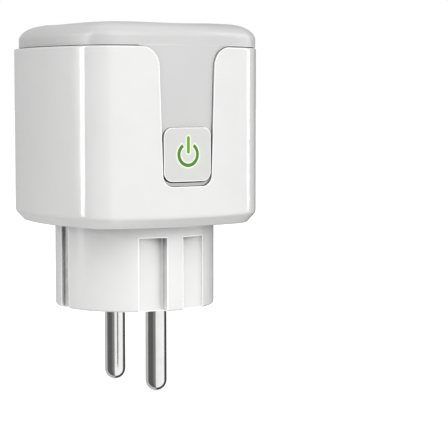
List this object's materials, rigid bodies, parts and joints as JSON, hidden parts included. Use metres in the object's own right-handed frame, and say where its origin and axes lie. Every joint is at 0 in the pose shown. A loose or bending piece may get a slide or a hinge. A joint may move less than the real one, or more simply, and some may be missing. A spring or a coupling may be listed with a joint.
{
  "type": "plug-in power meter",
  "caption": "Square plug-through power meter with an earthed outlet on top, a round-pin earthed plug below and a lit push button on a tongue in front.",
  "frame": {"origin": "centre of the flat rear wall around the plug body, on the plug's axis", "axes": "+Z from the wall into the room, towards the outlet; the button face looks along -Y; the pins lie at +Y and -Y"},
  "size_m": [0.049, 0.049, 0.0828],
  "materials": {
    "shell_white": "glossy",
    "cover_grey": "satin",
    "button_grey": "satin",
    "icon_green": "lit, translucent",
    "pin_nickel": "polished nickel plate",
    "strap_nickel": "nickel plated strip",
    "brass": "bright",
    "copper": null,
    "steel": "satin",
    "board_green": "solder mask on glass laminate",
    "black_plastic": "moulded",
    "cream_plastic": "moulded",
    "relay_blue": "moulded",
    "capacitor_sleeve": "shrink sleeve",
    "led_clear": "clear resin",
    "wire_green": "insulation"
  },
  "bodies": {
    "casing": {"outer_shell": "shell_white", "top_cover": "cover_grey", "plug_body": "shell_white", "pin_live": "pin_nickel", "pin_neutral": "pin_nickel", "pin_retainer": "black_plastic", "earth_strap": "strap_nickel", "earth_tube": "strap_nickel", "pocket_plate": "black_plastic", "earth_wire": "wire_green", "live_contact": "brass", "neutral_contact": "brass", "outlet_earth_bracket": "brass", "shutter_cover": "cream_plastic", "shutter_screws": "steel", "main_board": "board_green", "board_screws": "steel", "control_board": "board_green", "board_header": "black_plastic", "tact_switch": "black_plastic", "status_led": "led_clear", "wifi_module": "black_plastic", "wifi_shield": "steel", "relay_base": "relay_blue", "relay_case": "relay_blue", "relay_bobbin": "cream_plastic", "relay_coil": "copper", "relay_yoke": "steel", "relay_fixed_contact": "copper", "live_in_strip": "copper", "neutral_strip": "copper", "shunt_resistor": "copper", "metering_chip": "black_plastic", "bridge_rectifier": "black_plastic", "supply_inductor": "copper", "bulk_capacitor": "capacitor_sleeve", "output_capacitor": "capacitor_sleeve", "varistor": "relay_blue", "fusible_resistor": "cream_plastic", "thermal_fuse": "cream_plastic"},
    "button": {"button_cap": "button_grey", "power_icon": "icon_green"},
    "switch_plunger": {"tact_plunger": "cream_plastic"},
    "shutter_rotor": {"shutter": "cream_plastic", "shutter_spring": "steel"},
    "relay_armature": {"relay_armature": "steel", "relay_moving_spring": "copper"}
  },
  "joints": [
    {"name": "button_press", "type": "slide", "parent": "casing", "child": "button", "axis": [0, 1, 0], "range_m": [0, 0.0004], "stiffness_N_per_m": 2500},
    {"name": "switch_travel", "type": "slide", "parent": "casing", "child": "switch_plunger", "axis": [0, 1, 0], "range_m": [0, 0.0004]},
    {"name": "shutter_turn", "type": "hinge", "parent": "casing", "child": "shutter_rotor", "pos_m": [0, 0, 0.0243], "axis": [0, 0, 1], "range_deg": [0, 37]},
    {"name": "armature_pull", "type": "hinge", "parent": "casing", "child": "relay_armature", "pos_m": [0.0125, 0.0082, 0.016], "axis": [1, 0, 0], "range_deg": [0, 2.4]}
  ],
  "couplings": [
    {"joint": "switch_travel", "follows": "button_press", "ratio": 1}
  ]
}
